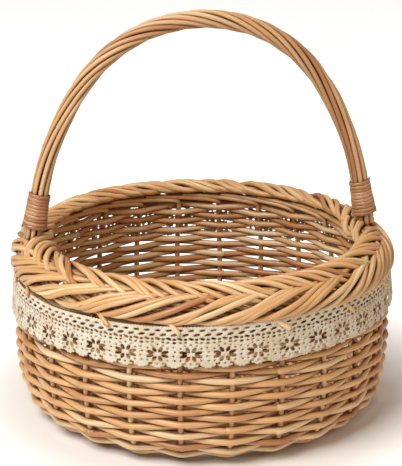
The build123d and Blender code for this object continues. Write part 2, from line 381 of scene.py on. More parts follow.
def willow_tone_group():
    """Peeled willow's colour: each rod its own tone, drifting along its length, with fibres."""
    tree, given, out = new_group(
        "willow_tone",
        [
            ("Place", VECTOR, None),
            ("Tone", NUMBER, 0.5),
            ("Pale", COLOUR, (1, 1, 1, 1)),
            ("Honey", COLOUR, (1, 1, 1, 1)),
            ("Tan", COLOUR, (1, 1, 1, 1)),
            ("Drift", NUMBER, 0.5),
        ],
        [("Colour", COLOUR), ("Fibre", NUMBER)],
    )
    w = Wiring(tree)
    place = given.outputs["Place"]
    drift = w.noise(w.scaled(place, (22, 60, 60)), 1.0, 3.0)
    drift = w.maths("SUBTRACT", drift, 0.5)
    drift = w.maths("MULTIPLY", drift, given.outputs["Drift"])
    tone = w.maths("ADD", given.outputs["Tone"], drift, clamp=True)
    light = w.mix(w.between(tone, 0.0, 0.5), given.outputs["Pale"], given.outputs["Honey"])
    colour = w.mix(w.between(tone, 0.5, 1.0), light, given.outputs["Tan"])
    fibre = w.noise(w.scaled(place, (55, 2600, 2600)), 1.0, 3.0, 0.65)
    streak = w.between(fibre, 0.32, 0.68, 0.80, 1.14)
    shade = w.node("ShaderNodeCombineColor")
    for socket in shade.inputs:
        w.join(streak, socket)
    colour = w.mix(1.0, colour, shade.outputs[0], "MULTIPLY")
    w.join(colour, out.inputs["Colour"])
    w.join(fibre, out.inputs["Fibre"])
    return tree


def willow_knots_group():
    """Small brown leaf scars, scattered along a rod."""
    tree, given, out = new_group(
        "willow_knots",
        [("Place", VECTOR, None), ("Size", NUMBER, 0.2)],
        [("Mask", NUMBER)],
    )
    w = Wiring(tree)
    cells = w.node("ShaderNodeTexVoronoi")
    w.join(w.scaled(given.outputs["Place"], (70, 330, 330)), cells.inputs["Vector"])
    cells.inputs["Scale"].default_value = 1.0
    near = w.maths("SUBTRACT", given.outputs["Size"], cells.outputs["Distance"])
    near = w.maths("DIVIDE", near, given.outputs["Size"], clamp=True)
    pick = w.node("ShaderNodeSeparateColor")
    w.join(cells.outputs["Color"], pick.inputs[0])
    chosen = w.maths("GREATER_THAN", pick.outputs[0], 0.80)
    w.join(w.maths("MULTIPLY", near, chosen), out.inputs["Mask"])
    return tree


def crevice_group():
    """How deep in the weave a spot lies, from an occlusion test and the nook attribute: brown stain and
    dust gather there, and the darkening is painted shade as well.
    """
    tree, given, out = new_group(
        "crevice_stain_and_shade",
        [("Nook", NUMBER, 0.0), ("Reach", NUMBER, 6 * MM), ("Strength", NUMBER, 0.8)],
        [("Mask", NUMBER)],
    )
    w = Wiring(tree)
    # painted shade: an occlusion test darkens the colour where the weave closes in
    open_sky = w.node("ShaderNodeAmbientOcclusion", samples=6)
    w.join(given.outputs["Reach"], open_sky.inputs["Distance"])
    closed = w.between(open_sky.outputs["AO"], 0.92, 0.25)
    both = w.maths("MAXIMUM", closed, given.outputs["Nook"])
    w.join(w.maths("MULTIPLY", both, given.outputs["Strength"], clamp=True), out.inputs["Mask"])
    return tree


WILLOW_TONE = willow_tone_group()
WILLOW_KNOTS = willow_knots_group()
CREVICE_STAIN_AND_SHADE = crevice_group()


def place_group(w, tree, **values):
    """A group's node with its inputs set or joined; gives its outputs."""
    made = w.node("ShaderNodeGroup", node_tree=tree)
    for label, value in values.items():
        w.put(made.inputs[label], value)
    return made.outputs


def read_attribute(w, name, output):
    """One output of a node that reads a mesh attribute."""
    return w.node("ShaderNodeAttribute", attribute_name=name).outputs[output]


def new_material(name):
    """A material, its Principled shader and the wiring of its tree."""
    material = bpy.data.materials.new(name)
    material.use_nodes = True
    shader = material.node_tree.nodes["Principled BSDF"]
    return material, shader, Wiring(material.node_tree)


def rgb(red, green, blue):
    """A colour as a screen shows it, 0 to 255, as the linear values that shaders take."""
    linear = [((c / 255 + 0.055) / 1.055) ** 2.4 for c in (red, green, blue)]
    return (*linear, 1.0)


TONE_DRIFT = 0.5
SCAR = (0.10, 0.035, 0.01, 1)
SCAR_SIZE = 0.2
# the crevice colour: brown stain and painted shade together
STAIN_AND_SHADE = rgb(120, 66, 34)
CREVICE_SHADE_REACH = 4 * MM
STAIN_AND_SHADE_STRENGTH = 0.85


def willow(name, pale, honey, tan, gloss=0.36):
    """Boiled and buffed willow, satin with darker leaf scars, and crevices darkened by brown stain and
    painted shade.
    """
    material, shader, w = new_material(name)
    place = read_attribute(w, "rod_space", "Vector")
    tone = read_attribute(w, "rod_tone", "Fac")
    nook = read_attribute(w, "nook", "Fac")
    body = place_group(
        w, WILLOW_TONE, Place=place, Tone=tone, Pale=pale, Honey=honey, Tan=tan, Drift=TONE_DRIFT
    )
    knots = place_group(w, WILLOW_KNOTS, Place=place, Size=SCAR_SIZE)
    deep = place_group(w, CREVICE_STAIN_AND_SHADE, Nook=nook, Reach=CREVICE_SHADE_REACH, Strength=STAIN_AND_SHADE_STRENGTH)
    scarred = w.mix(w.maths("MULTIPLY", knots["Mask"], 0.85), body["Colour"], SCAR)
    # painted shade with stain: crevices and the hidden sides of rods are darkened
    stained_and_shaded = w.mix(deep["Mask"], scarred, w.mix(1.0, scarred, STAIN_AND_SHADE, "MULTIPLY"))
    w.join(stained_and_shaded, shader.inputs["Base Color"])
    rough = w.between(body["Fibre"], 0.3, 0.7, gloss - 0.05, gloss + 0.12)
    rough = w.maths("ADD", rough, w.maths("MULTIPLY", deep["Mask"], 0.25))
    w.join(rough, shader.inputs["Roughness"])
    height = w.maths("SUBTRACT", body["Fibre"], w.maths("MULTIPLY", knots["Mask"], 0.6))
    bump = w.node("ShaderNodeBump")
    bump.inputs["Strength"].default_value = 0.35
    bump.inputs["Distance"].default_value = 0.25 * MM
    w.join(height, bump.inputs["Height"])
    w.join(bump.outputs[0], shader.inputs["Normal"])
    shader.inputs["Specular IOR Level"].default_value = 0.6
    shader.inputs["Coat Weight"].default_value = 0.15
    shader.inputs["Coat Roughness"].default_value = 0.35
    return material


SIDING_WILLOW = willow("siding_willow", rgb(238, 206, 160), rgb(222, 172, 116), rgb(190, 130, 78))
UPRIGHT_WILLOW = willow("upright_willow", rgb(240, 206, 156), rgb(224, 174, 116), rgb(194, 134, 80))
BASE_WILLOW = willow("base_willow", rgb(228, 186, 130), rgb(208, 152, 96), rgb(180, 120, 70))
BORDER_WILLOW = willow("border_willow", rgb(238, 208, 158), rgb(218, 168, 110), rgb(184, 124, 74))
HANDLE_WILLOW = willow("handle_willow", rgb(240, 210, 168), rgb(216, 170, 120), rgb(182, 128, 82))
WILLOW_SKEIN = willow(
    "willow_skein", rgb(214, 168, 124), rgb(184, 132, 90), rgb(144, 94, 58), gloss=0.26
)


# ---- the wall's middle line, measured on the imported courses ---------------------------
def course_node(index):
    """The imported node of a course, counted from 0 at the bottom."""
    return f"siding_course_{index + 1:02d}"


def middle_of_course(index):
    """Radius and height of the middle of a packed course."""
    points = corners(course_node(index))
    radii = np.hypot(points[:, 0], points[:, 1])
    return (radii.max() + radii.min()) / 2, (points[:, 2].max() + points[:, 2].min()) / 2


wall_line = np.array([middle_of_course(index) for index in range(COURSES)])
wall_ahead = unit(np.gradient(wall_line, axis=0))
wall_out = np.stack([wall_ahead[:, 1], -wall_ahead[:, 0]], -1)


# ---- siding ---------------------------------------------------------------------------
def siding_course(index):
    """One course of the siding: rods laid in one after another, over one upright, behind the next."""
    rods = Rods(100 + index)
    rng = rods.rng
    (radius, height), (out_r, out_z) = wall_line[index], wall_out[index]
    parity = 1 if index % 2 == 0 else -1
    begin = 2 * rng.integers(0, UPRIGHTS // 2) + (1 if parity > 0 else 0)
    for span in SHORT_LAYS if index % 3 else LONG_LAYS:
        first = begin * UPRIGHT_STEP - LAY_OVERLAP
        last = (begin + span) * UPRIGHT_STEP + LAY_OVERLAP
        begin += span
        count = samples_along((last - first) * radius)
        angle = np.linspace(first, last, count)
        wave = parity * np.cos(UPRIGHTS / 2 * angle)
        wave = np.arcsin(WEAVE_SHARPNESS * wave) / math.asin(WEAVE_SHARPNESS)
        reach = WEAVE_OFFSET * wave + SIDING_WANDER * slow_noise(rng, count, span)
        sag = SIDING_SAG * slow_noise(rng, count, span * 1.2)
        centres = around(
            radius + reach * out_r + sag * -out_z, angle, height + reach * out_z + sag * out_r
        )
        outward = around(out_r, angle, out_z)
        # painted shade: where a rod passes an upright, the side that faces the upright is darkened
        behind = np.clip(-wave, 0, 1) ** 3 * 0.35
        before = np.clip(wave, 0, 1) ** 3 * 0.6
        tone = np.clip(rng.normal(0.42, 0.30), 0.0, 1.0)
        rods.add(centres, outward, SIDING_RADIUS, tone, taper=SIDING_TAPER, nook=(behind, before))
    return rods.piece(f"siding_{index + 1:02d}", SIDING_WILLOW)


for index in range(COURSES):
    course = siding_course(index)
    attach(course, "root")
    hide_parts(course_node(index))


# ---- side uprights --------------------------------------------------------------------
def uprights():
    """The uprights run out along the base, turn up at the foot and climb the wall."""
    rods = Rods(11)
    rng = rods.rng
    packed_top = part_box("side_uprights")[1].z
    along_base = np.linspace(0, 0.97, 12)[:, None]
    inner_end = np.array([UPRIGHT_INNER_END, wall_line[0, 1]])
    run = inner_end + along_base * (wall_line[0] - inner_end)
    slope = wall_line[-1] - wall_line[-2]
    top = wall_line[-1] + slope * (packed_top - wall_line[-1, 1]) / slope[1]
    onward = np.linspace(0, 1, TAIL_STEPS + 1)[1:, None]
    bent = 1 - np.exp(-onward * TAIL_LENGTH / TAIL_BEND)
    rest = np.array([TAIL_RADIUS, top[1] + TAIL_BEND])
    tail = top + (rest - top) * bent + np.array([0, TAIL_RISE]) * onward
    line = np.concatenate([run, wall_line[1:], [top], tail])
    lean = np.zeros(len(line))
    lean[-TAIL_STEPS:] = (onward * TAIL_LENGTH - TAIL_BEND * bent)[:, 0]
    ahead = unit(np.gradient(line, axis=0))
    for number in range(UPRIGHTS):
        angle = number * UPRIGHT_STEP
        bend = 0.5 * MM * slow_noise(rng, len(line), 5)
        centres = around(line[:, 0], angle + (bend + lean) / line[:, 0], line[:, 1])
        outward = around(ahead[:, 1], angle, -ahead[:, 0])
        tone = np.clip(rng.normal(0.5, 0.25), 0, 1)
        # under each foot the bow's tip takes the upright's place in the upper courses
        under_foot = number % (UPRIGHTS // 2) == 0
        keep = len(line) - (BOW_TIP_COURSES + 1 + TAIL_STEPS if under_foot else 0)
        rods.add(centres[:keep], outward[:keep], UPRIGHT_RADIUS, tone, taper=0.12)
    return rods.piece("uprights", UPRIGHT_WILLOW)


stakes = uprights()
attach(stakes, "root")
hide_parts("side_uprights")


# ---- base -----------------------------------------------------------------------------
def base_stick(rods, place, layer, height):
    """One stick of the cross, place -1, 0 or 1 across it and layer -1 below or 1 above."""
    turn = UPRIGHT_STEP / 2 + (math.pi / 2 if layer > 0 else 0)
    splay = place * 2 * math.pi / STICK_COUNT
    level = height + layer * BASE_LAYER
    half = [
        (0, place * STICK_PITCH, level),
        (SLATH_HALF_WIDTH * 0.6, place * STICK_PITCH, level),
        (SLATH_HALF_WIDTH, place * STICK_PITCH, level),
        (FAN_RADIUS * math.cos(splay), FAN_RADIUS * math.sin(splay), height),
        (STICK_TIP_RADIUS * 0.6 * math.cos(splay), STICK_TIP_RADIUS * 0.6 * math.sin(splay), height),
        (STICK_TIP_RADIUS * math.cos(splay), STICK_TIP_RADIUS * math.sin(splay), height),
    ]
    half = np.array(half)
    route = np.concatenate([(half * [-1, 1, 1])[:0:-1], half])
    share = np.linspace(0, 1, STICK_SAMPLES)
    knots = np.concatenate([[0], np.cumsum(np.linalg.norm(np.diff(route, axis=0), axis=1))])
    smooth = np.stack([np.interp(share * knots[-1], knots, route[:, k]) for k in range(3)], -1)
    for _ in range(STICK_SMOOTHINGS):
        smooth[1:-1] = (smooth[:-2] + 2 * smooth[1:-1] + smooth[2:]) / 4
    spin = np.array([[math.cos(turn), math.sin(turn), 0], [-math.sin(turn), math.cos(turn), 0], [0, 0, 1]])
    centres = smooth @ spin
    outward = np.broadcast_to([0.0, 0.0, 1.0], centres.shape)
    tone = np.clip(rods.rng.normal(0.5, 0.2), 0, 1)
    rods.add(centres, outward, STICK_RADIUS, tone, taper=0.08)


def base_ring(rods, index, height):
    """One round of the base weave, over one spoke and under the next."""
    radius = BASE_RING_INNER + index * BASE_RING_PITCH
    count = samples_along(2 * math.pi * radius)
    angle = np.linspace(0, 2 * math.pi - BASE_RING_GAP / radius, max(count, BASE_RING_SAMPLES))
    phase = STICK_COUNT / 2 * (angle - UPRIGHT_STEP / 2)
    side = 1 if index % 2 else -1
    # level over and under the spokes, steep between them
    wave = np.clip(side * np.cos(phase) * 1.35, -1, 1)
    wave = wave * (1.5 - 0.5 * wave**2)
    centres = around(radius, angle, height + BASE_RING_SWING * wave)
    outward = np.broadcast_to([0.0, 0.0, 1.0], centres.shape)
    tone = np.clip(rods.rng.normal(0.5, 0.25), 0, 1)
    rods.add(centres, outward, BASE_RING_RADIUS, tone)


base_low, base_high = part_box("base_weave_outer")
base_middle = (base_low.z + base_high.z) / 2
ring_count = int(round((base_high.x - BASE_RING_RADIUS - BASE_RING_INNER) / BASE_RING_PITCH)) + 1
inner_rings = math.ceil((UPRIGHT_INNER_END - 2 * BASE_RING_RADIUS - BASE_RING_INNER) / BASE_RING_PITCH)

for layer, name in ((-1, "base_sticks_lower"), (1, "base_sticks_upper")):
    rods = Rods(20 + layer)
    for place in (-1, 0, 1):
        base_stick(rods, place, layer, base_middle)
    sticks = rods.piece(name.replace("base_sticks", "sticks"), BASE_WILLOW)
    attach(sticks, "root")
    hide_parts(name)

for name, rounds in (
    ("base_weave_inner", range(inner_rings)),
    ("base_weave_outer", range(inner_rings, ring_count)),
):
    rods = Rods(len(name) + rounds.start)
    for index in rounds:
        base_ring(rods, index, base_middle)
    weave = rods.piece(name.replace("base_weave", "base_rounds"), BASE_WILLOW)
    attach(weave, "root")
    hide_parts(name)


# ---- plaited border -------------------------------------------------------------------
def plait_line(angle, phase):
    """A strand's middle, the plait's outward normal there, and how far under it passes."""
    beat = PLAIT_REPEATS * angle + phase
    beat = beat + PLAIT_SKEW * (np.sin(beat) + 1)
    swing = np.arcsin(PLAIT_SHARPNESS * np.sin(beat)) / math.asin(PLAIT_SHARPNESS)
    from_foot = np.degrees(np.arctan2(np.abs(np.sin(angle)), np.abs(np.cos(angle))))
    at_eye = 2 ** (-((from_foot / PLAIT_EYE_SPREAD) ** 2))
    across = (PLAIT_SWING + PLAIT_EYE_SWING * at_eye) * swing + PLAIT_EYE_SHIFT * at_eye
    lift = -PLAIT_LIFT * np.sin(2 * beat)
    wrap = PLAIT_WRAP_ANGLE - across / PLAIT_WRAP_RADIUS
    reach = PLAIT_WRAP_RADIUS + lift
    middle = around(
        PLAIT_SECTION_RADIUS + reach * np.cos(wrap), angle, PLAIT_SECTION_HEIGHT + reach * np.sin(wrap)
    )
    return middle, around(np.cos(wrap), angle, np.sin(wrap)), -lift / PLAIT_LIFT


def border_strand(strand):
    """One strand: two groups of rods half a repeat apart, and its share of the cropped tips."""
    rods = Rods(40 + strand)
    rng = rods.rng
    phase = strand * 2 * math.pi / PLAIT_STRANDS - math.pi / 2 - PLAIT_EYE_LEAD
    count = samples_along(2 * math.pi * PLAIT_SECTION_RADIUS * PLAIT_LENGTHENING)
    angle = UPRIGHT_STEP / 2 + np.linspace(0, 2 * math.pi - PLAIT_END_GAP, count)
    for number in range(PLAIT_RODS):
        group, place = divmod(number, PLAIT_GROUP)
        own = phase + group * math.pi + (place - 1) * PLAIT_FAN + PLAIT_DRIFT * slow_noise(rng, count, 24)
        middle, normal, under = plait_line(angle, own)
        ahead = unit(np.gradient(middle, axis=0))
        aside = unit(np.cross(normal, ahead))
        wander = PLAIT_WANDER * slow_noise(rng, count, 50)
        rise = PLAIT_RISE * slow_noise(rng, count, 50)
        centres = middle + aside * wander[:, None] + normal * rise[:, None]
        # painted shade where a rod passes under the other strands
        deep = np.clip(under, 0, 1) ** 2 * 0.4
        tone = np.clip(rng.normal(0.42, 0.16), 0, 1)
        rods.add(centres, normal, PLAIT_ROD_RADIUS, tone, nook=(deep, deep))
    for number in range(strand, CROPPED_TIPS, PLAIT_STRANDS):
        at = 2 * math.pi * (number + rng.uniform(0.2, 0.8)) / CROPPED_TIPS
        slide = np.linspace(0, 1, TIP_STEPS)
        run = TIP_RUN * rng.uniform(0.7, 1.2)
        drop = TIP_DROP * rng.uniform(0.6, 1.1)
        radius = TIP_RADIUS + TIP_FLARE * slide
        centres = around(radius, at + slide * run / TIP_RADIUS, TIP_HEIGHT - drop * slide)
        tone = np.clip(rng.normal(0.3, 0.2), 0, 1)
        outward = around(1, at, 0 * slide)
        rods.add(centres, outward, PLAIT_ROD_RADIUS * 0.85, tone, taper=0.3, knobs=False)
    return rods.piece(f"plait_strand_{strand + 1}", BORDER_WILLOW)


for strand, letter in enumerate("abc"[:PLAIT_STRANDS]):
    plait = border_strand(strand)
    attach(plait, "root")
    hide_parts(f"border_strand_{letter}")


# ---- handle ---------------------------------------------------------------------------
class Arch:
    """The handle's middle line: leaning legs, two side arcs and a crown arc."""

    def __init__(self, foot_radius, foot_height, apex_height):
        lean = HANDLE_LEAN
        foot = np.array([foot_radius, foot_height])
        leg_top = foot + HANDLE_LEG * np.array([-math.sin(lean), math.cos(lean)])
        crown = np.array([0, apex_height - HANDLE_CROWN_RADIUS])
        across_leg = np.array([math.cos(lean), math.sin(lean)])
        from_crown = leg_top - crown
        side_radius = (from_crown @ from_crown - HANDLE_CROWN_RADIUS**2) / (
            2 * (from_crown @ across_leg - HANDLE_CROWN_RADIUS)
        )
        side = leg_top - across_leg * side_radius
        meet = math.atan2(*(crown - side)[::-1])
        leg = np.linspace(foot, leg_top, 40, endpoint=False)
        turns = np.linspace(lean, meet, 160, endpoint=False)
        side_arc = side + side_radius * np.stack([np.cos(turns), np.sin(turns)], -1)
        turns = np.linspace(meet, math.pi / 2, 120)
        crown_arc = crown + HANDLE_CROWN_RADIUS * np.stack([np.cos(turns), np.sin(turns)], -1)
        half = np.concatenate([leg, side_arc, crown_arc])
        self.line = np.concatenate([half, (half * [-1, 1])[-2::-1]])
        steps = np.linalg.norm(np.diff(self.line, axis=0), axis=1)
        self.knots = np.concatenate([[0], np.cumsum(steps)])
        self.length = self.knots[-1]

    def at(self, distance):
        """Points, directions and outward normals at distances from the right foot."""
        x, z = (np.interp(distance, self.knots, self.line[:, k]) for k in (0, 1))
        points = np.stack([x, np.zeros_like(x), z], -1)
        ahead = unit(np.gradient(points, axis=0))
        return points, ahead, np.stack([ahead[:, 2], 0 * x, -ahead[:, 0]], -1)


FOOT_RADIUS = PLAIT_SECTION_RADIUS + FOOT_OFFSET
arch = Arch(FOOT_RADIUS, FOOT_HEIGHT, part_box("handle_bow")[1].z - BOW_RADIUS)


def rope_rod(number):
    """One rod of the roping, straight in the bindings and twisting most over the crown."""
    rods = Rods(60 + number)
    rng = rods.rng
    count = samples_along(arch.length)
    distance = np.linspace(0, arch.length, count)
    points, ahead, outward = arch.at(distance)
    share = distance / arch.length
    first = 2 * math.pi * number / ROPE_RODS
    turned = first - 2 * math.pi * ROPE_TURNS * (share - np.sin(2 * math.pi * share) / (2 * math.pi))
    turned = turned + 0.10 * slow_noise(rng, count, 9)
    reach = ROPE_RADIUS + ROPE_WANDER * slow_noise(rng, count, 12)
    aside = np.array([0.0, -1.0, 0.0])
    direction = outward * np.cos(turned)[:, None] + aside * np.sin(turned)[:, None]
    centres = points + direction * reach[:, None]
    first, last = centres[:1] - ahead[:1] * ROPE_END_RUN, centres[-1:] + ahead[-1:] * ROPE_END_RUN
    centres = np.concatenate([first, centres, last])
    direction = np.concatenate([direction[:1], direction, direction[-1:]])
    tone = np.clip(0.15 + 0.7 * ((number * 5) % ROPE_RODS) / (ROPE_RODS - 1) + rng.normal(0, 0.1), 0, 1)
    # painted shade on the side of each rope rod that faces the bow inside the roping
    hidden = np.full(count + 2, ROPE_INNER_SHADE)
    rods.add(centres, direction, ROPE_ROD_RADIUS, tone, taper=0.1, nook=(hidden * 0, hidden))
    return rods.piece(f"rope_rod_{number + 1}", HANDLE_WILLOW)


for number in range(ROPE_RODS):
    rope = rope_rod(number)
    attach(rope, "root")
    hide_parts(f"handle_rope_rod_{number + 1}")


def bow():
    """The bow under the roping, with a thinner tip each side that goes down into the wall."""
    rods = Rods(70)
    count = samples_along(arch.length)
    points, _, outward = arch.at(np.linspace(0, arch.length, count))
    rods.add(points, outward, BOW_RADIUS, 0.6)
    for side in (1, -1):
        # out of the foot, through the border and on down the middle of the wall
        into_border = [(FOOT_RADIUS, FOOT_HEIGHT + 2 * MM), (FOOT_RADIUS + 1 * MM, FOOT_HEIGHT - 8 * MM)]
        line = np.concatenate([into_border, wall_line[: -BOW_TIP_COURSES - 1 : -1]])
        centres = np.stack([side * line[:, 0], 0 * line[:, 0], line[:, 1]], -1)
        outward = np.broadcast_to([float(side), 0.0, 0.2], centres.shape)
        rods.add(centres, outward, UPRIGHT_RADIUS, 0.5)
    return rods.piece("bow", HANDLE_WILLOW)


handle_bow = bow()
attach(handle_bow, "root")
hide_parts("handle_bow")


# ---- handle bindings ------------------------------------------------------------------
def binding(side):
    """One split skein wound round a foot, each turn beside the last, wider at the bottom."""
    rng = np.random.default_rng(80 + side)
    height = BINDING_TURNS * SKEIN_WIDTH
    count = BINDING_TURNS * SKEIN_SAMPLES
    climb = np.linspace(0, 1, count)
    points, ahead, outward = arch.at(np.linspace(0, height, 200))
    low, direction, out = points[0], ahead[0], outward[0]
    if side < 0:
        low, direction, out = (v * [-1, 1, 1] for v in (low, direction, out))
    aside = np.array([0.0, 1.0, 0.0])
    turn = 2 * math.pi * BINDING_TURNS * climb
    flare = BINDING_FLARE * (1 - climb) ** 2
    base = ROPE_RADIUS + ROPE_ROD_RADIUS + flare + SKEIN_EASE
    base = base + 0.25 * MM * np.abs(np.cos(turn * ROPE_RODS / 2)) + 0.2 * MM * slow_noise(rng, count, 30)
    # the skein's section, as shares of its width across and of its thickness outward
    outline = [(-0.5, 0.0), (-0.47, 0.6), (-0.3, 0.95), (0.0, 1.1), (0.3, 0.95), (0.47, 0.6), (0.5, 0.0)]
    radial = unit(out[None] * np.cos(turn)[:, None] + aside[None] * np.sin(turn)[:, None])
    tilt = 0.12 * MM * slow_noise(rng, count, 22)
    rows = []
    for across, thick in outline:
        up = climb * (height - SKEIN_WIDTH) + SKEIN_WIDTH / 2 + across * SKEIN_WIDTH * SKEIN_COVER + tilt
        reach = base + thick * SKEIN_THICKNESS
        rows.append(low + direction * up[:, None] + radial * reach[:, None])
    grid = np.stack(rows, 1)
    wide = len(outline)
    number = np.arange(count * wide).reshape(count, wide)
    beside = np.roll(number, -1, axis=1)
    quads = np.stack([number[:-1], beside[:-1], beside[1:], number[1:]], -1).reshape(-1, 4)
    if side > 0:
        quads = quads[:, ::-1]
    caps = np.stack([number[0], number[-1][::-1]])
    length = climb * 2 * math.pi * BINDING_TURNS * base
    space = np.zeros((count, wide, 3))
    space[..., 0] = length[:, None]
    space[..., 1] = np.array([across for across, _ in outline]) * SKEIN_WIDTH
    tone = np.repeat(0.45 + 0.35 * slow_noise(rng, count, BINDING_TURNS), wide)
    # painted shade along both edges of the skein, where one turn meets the next
    edge = np.tile([0.5, 0.25, 0.0, 0.0, 0.0, 0.25, 0.5], count)
    attributes = {"rod_space": space.reshape(-1, 3), "rod_tone": tone, "nook": edge}
    name = "skein_right" if side > 0 else "skein_left"
    return mesh_piece(name, grid.reshape(-1, 3), [quads, caps], attributes, WILLOW_SKEIN)


for side, node in ((1, "handle_binding_right"), (-1, "handle_binding_left")):
    skein = binding(side)
    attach(skein, "root")
    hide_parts(node)


# ---- lace band ------------------------------------------------------------------------
lace_low, lace_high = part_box("lace_band")
lace_points = corners("lace_band")
lace_radii = np.hypot(lace_points[:, 0], lace_points[:, 1])
at_bottom = lace_points[:, 2] < lace_low.z + 0.1 * MM
LACE_BOTTOM_RADIUS = lace_radii[at_bottom].min()
LACE_TOP_RADIUS = lace_radii[~at_bottom].min()
LACE_WIDTH = math.hypot(lace_high.z - lace_low.z, LACE_BOTTOM_RADIUS - LACE_TOP_RADIUS)
LACE_LENGTH = math.pi * (LACE_BOTTOM_RADIUS + LACE_TOP_RADIUS)
MOTIF = LACE_LENGTH / LACE_MOTIFS


def hole(u, v, at_u, at_v, half_long, half_short, tilt=0.0):
    """Roughly the distance outside an oval hole, below zero inside it."""
    c, s = math.cos(tilt), math.sin(tilt)
    du, dv = u - at_u, v - at_v
    along, across = du * c + dv * s, -du * s + dv * c
    size = np.sqrt((along / half_long) ** 2 + (across / half_short) ** 2) + 1e-9
    return (size - 1) * half_short * (0.55 + 0.45 * half_long / half_short / size.clip(1, 9))


def lace_cloth(u, v):
    """How far a spot of the pattern is inside the cloth; u runs round, v up, in metres."""
    u = (u + MOTIF / 2) % MOTIF - MOTIF / 2
    cloth = np.full(u.shape, 1.0)

    def cut(distance):
        """Takes a shape out of the cloth."""
        np.minimum(cloth, distance, out=cloth)

    pitch = MOTIF / EYELETS
    for number in range(-2, 3):
        cut(hole(u, v, number * pitch, 26.0 * MM, 1.9 * MM, 0.72 * MM, 0.08))
        cut(hole(u, v, (number + 0.5) * pitch, 23.1 * MM, 2.1 * MM, 0.85 * MM, 0.25))
        cut(hole(u, v, number * pitch, 20.4 * MM, 1.7 * MM, 0.8 * MM, -0.28))
        cut(hole(u, v, (number + 0.5) * pitch, 20.0 * MM, 1.0 * MM, 0.8 * MM))
    for side in (-1, 1):
        middle = side * MOTIF / 2
        cut(hole(u, v, middle, 17.6 * MM, 1.2 * MM, 0.8 * MM))
        for step, level in enumerate((14.6, 11.6, 8.6, 5.6)):
            cut(hole(u, v, middle + (step % 2 - 0.5) * 1.0 * MM, level * MM, 0.7 * MM, 0.55 * MM))
        cut(hole(u, v, side * 3.6 * MM, 18.0 * MM, 1.2 * MM, 0.5 * MM, side * -0.4))
        cut(hole(u, v, side * 7.0 * MM, 17.8 * MM, 1.0 * MM, 0.5 * MM, side * 0.4))
        cut(hole(u, v, side * 4.6 * MM, 3.4 * MM, 1.3 * MM, 0.5 * MM, side * 0.3))
    # small holes round the flower, none at its two sides
    for bead in (1, 2, 3, 4, 5, 8, 9, 10, 11, 12):
        turn = 2 * math.pi * (bead + 0.5) / 14
        at_u, at_v = 8.7 * MM * math.cos(turn), 6.6 * MM * math.sin(turn)
        cut(hole(u, v, at_u, FLOWER_HEIGHT + at_v, 0.62 * MM, 0.5 * MM))
    for petal in range(PETALS):
        turn = 2 * math.pi * (petal + 0.5) / PETALS
        at_u, at_v = 5.4 * MM * math.cos(turn), 3.3 * MM * math.sin(turn)
        lean_in = math.atan2(at_v, at_u)
        long = 1.7 * MM + 0.9 * MM * abs(math.cos(turn))
        cut(hole(u, v, at_u, FLOWER_HEIGHT + at_v, long, 1.12 * MM, lean_in))
    edge = 2.4 * MM * (1 - np.abs(np.cos(2 * math.pi * u / MOTIF)) ** 0.8)
    picots = 0.35 * MM * np.cos(2 * math.pi * 8 * u / MOTIF)
    cut(v - edge - picots - 0.5 * MM)
    cut(LACE_WIDTH - 0.35 * MM - v + 0.25 * MM * np.cos(2 * math.pi * 10 * u / MOTIF))
    return cloth


